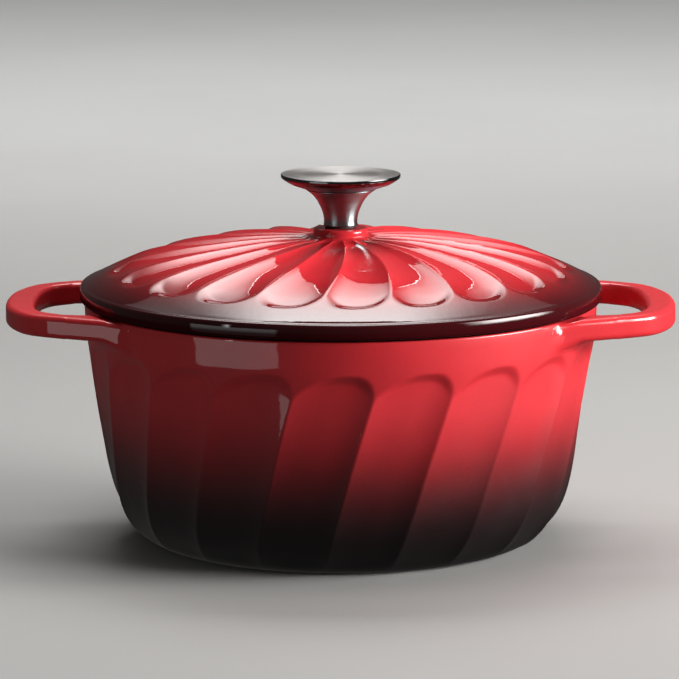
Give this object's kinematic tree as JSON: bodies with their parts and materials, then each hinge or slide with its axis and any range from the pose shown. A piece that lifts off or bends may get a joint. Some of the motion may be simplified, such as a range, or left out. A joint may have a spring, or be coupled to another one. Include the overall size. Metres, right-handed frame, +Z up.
{
  "type": "round cast iron dutch oven with lid",
  "caption": "Round enamelled cast iron pot with swirled flutes, cast loop handles and a domed swirled lid that lifts off by a steel knob.",
  "frame": {"origin": "centre of the flat base, at the surface it rests on", "axes": "+Z up, the two loop handles along X, the viewed side towards -Y"},
  "size_m": [0.3438, 0.2682, 0.1877],
  "materials": {
    "pot_enamel": "gloss red enamel over cast iron, shading to near black at the base",
    "lid_enamel": "gloss red enamel over cast iron, shading to near black at the rim",
    "brushed_steel": "concentric brushed stainless steel",
    "polished_steel": "polished stainless steel",
    "fastener_steel": "plain stainless steel hardware",
    "gasket_rubber": "matt black heat resistant gasket"
  },
  "bodies": {
    "pot": {"pot_body": "pot_enamel"},
    "knob": {"knob_cap": "brushed_steel", "knob_stem": "polished_steel", "knob_insert": "fastener_steel", "knob_gasket": "gasket_rubber", "knob_screw": "fastener_steel", "flat_washer": "fastener_steel", "lock_washer": "fastener_steel"},
    "lid": {"lid": "lid_enamel"}
  },
  "joints": [
    {"name": "lid_lift", "type": "slide", "parent": "pot", "child": "knob", "axis": [0, 0, 1], "range_m": [0, 0.18]},
    {"name": "lid_turn", "type": "hinge", "parent": "knob", "child": "lid", "pos_m": [0, 0, 0.16], "axis": [0, 0, 1], "continuous": true}
  ]
}
